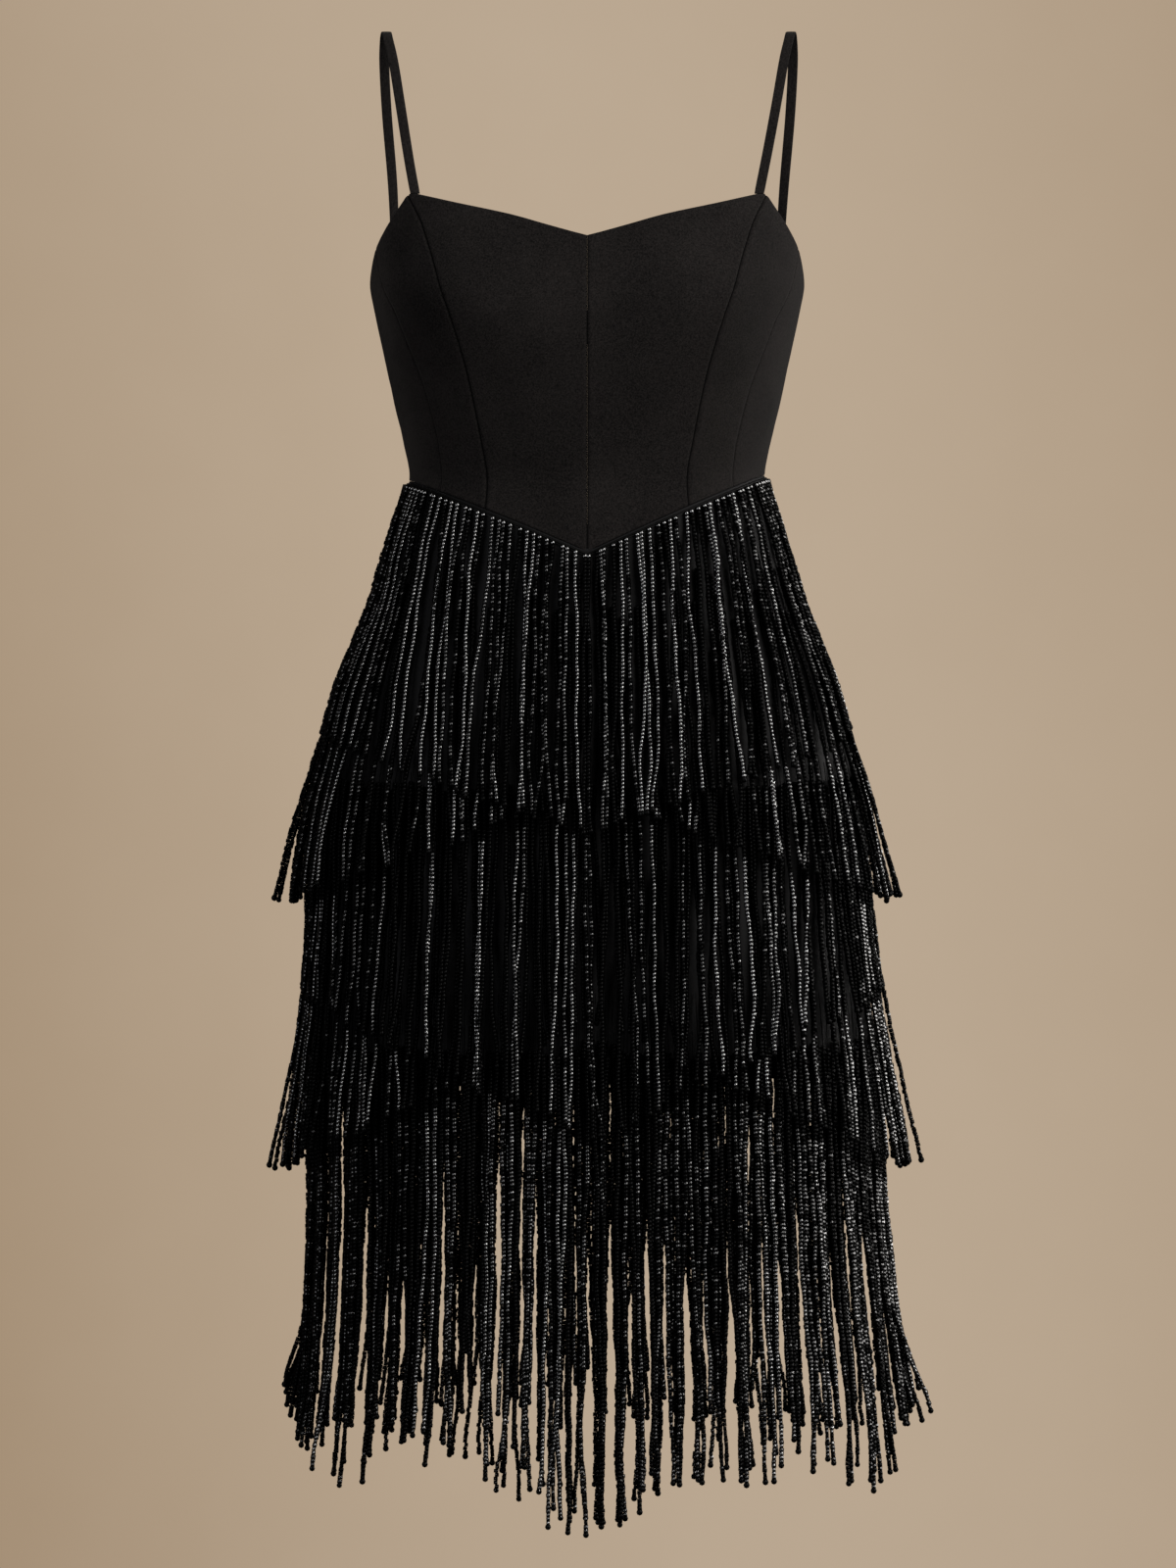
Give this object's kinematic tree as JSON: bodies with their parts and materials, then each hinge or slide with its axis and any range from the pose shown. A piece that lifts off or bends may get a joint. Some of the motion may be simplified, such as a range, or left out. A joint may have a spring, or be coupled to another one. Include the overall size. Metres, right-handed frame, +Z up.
{
  "type": "flapper dress",
  "caption": "Black fitted-bodice cocktail dress with thin straps and tiered beaded fringe over a slip skirt, filled out as worn.",
  "frame": {"origin": "midway between the tops of the two shoulder straps, where the wearer's shoulders carry the dress", "axes": "+Z up, the front of the dress faces -Y, and +X is to the right of someone who looks at the front"},
  "size_m": [0.4491, 0.3363, 1.0564],
  "materials": {
    "crepe": "matt black crepe",
    "slip_cloth": "smooth black lining cloth",
    "beads": "glossy opaque black glass",
    "tape": "fine woven tape",
    "zip_metal": "black enamel"
  },
  "bodies": {
    "dress": {"center_front_left": "crepe", "center_front_right": "crepe", "side_front_left": "crepe", "side_front_right": "crepe", "underarm_left": "crepe", "underarm_right": "crepe", "back_left": "crepe", "back_right": "crepe", "strap_left": "crepe", "strap_right": "crepe", "slip_front": "slip_cloth", "slip_back_left": "slip_cloth", "slip_back_right": "slip_cloth", "waist_tape_front": "tape", "waist_tape_back_left": "tape", "waist_tape_back_right": "tape", "fringe_1_upper_front": "beads", "fringe_1_upper_back_left": "beads", "fringe_1_upper_back_right": "beads", "fringe_1_lower_front": "beads", "fringe_1_lower_back_left": "beads", "fringe_1_lower_back_right": "beads", "fringe_2_upper_front": "beads", "fringe_2_upper_back": "beads", "fringe_2_lower_front": "beads", "fringe_2_lower_back": "beads", "fringe_3_upper_front": "beads", "fringe_3_upper_back": "beads", "fringe_3_lower_front": "beads", "fringe_3_lower_back": "beads", "zip_slider": "zip_metal"},
    "pull_tab": {"zip_pull": "zip_metal"}
  },
  "joints": [
    {"name": "pull_tab_swing", "type": "hinge", "parent": "dress", "child": "pull_tab", "pos_m": [0, 0.10317, -0.2015], "axis": [1, 0, 0], "range_deg": [0, 160]}
  ]
}
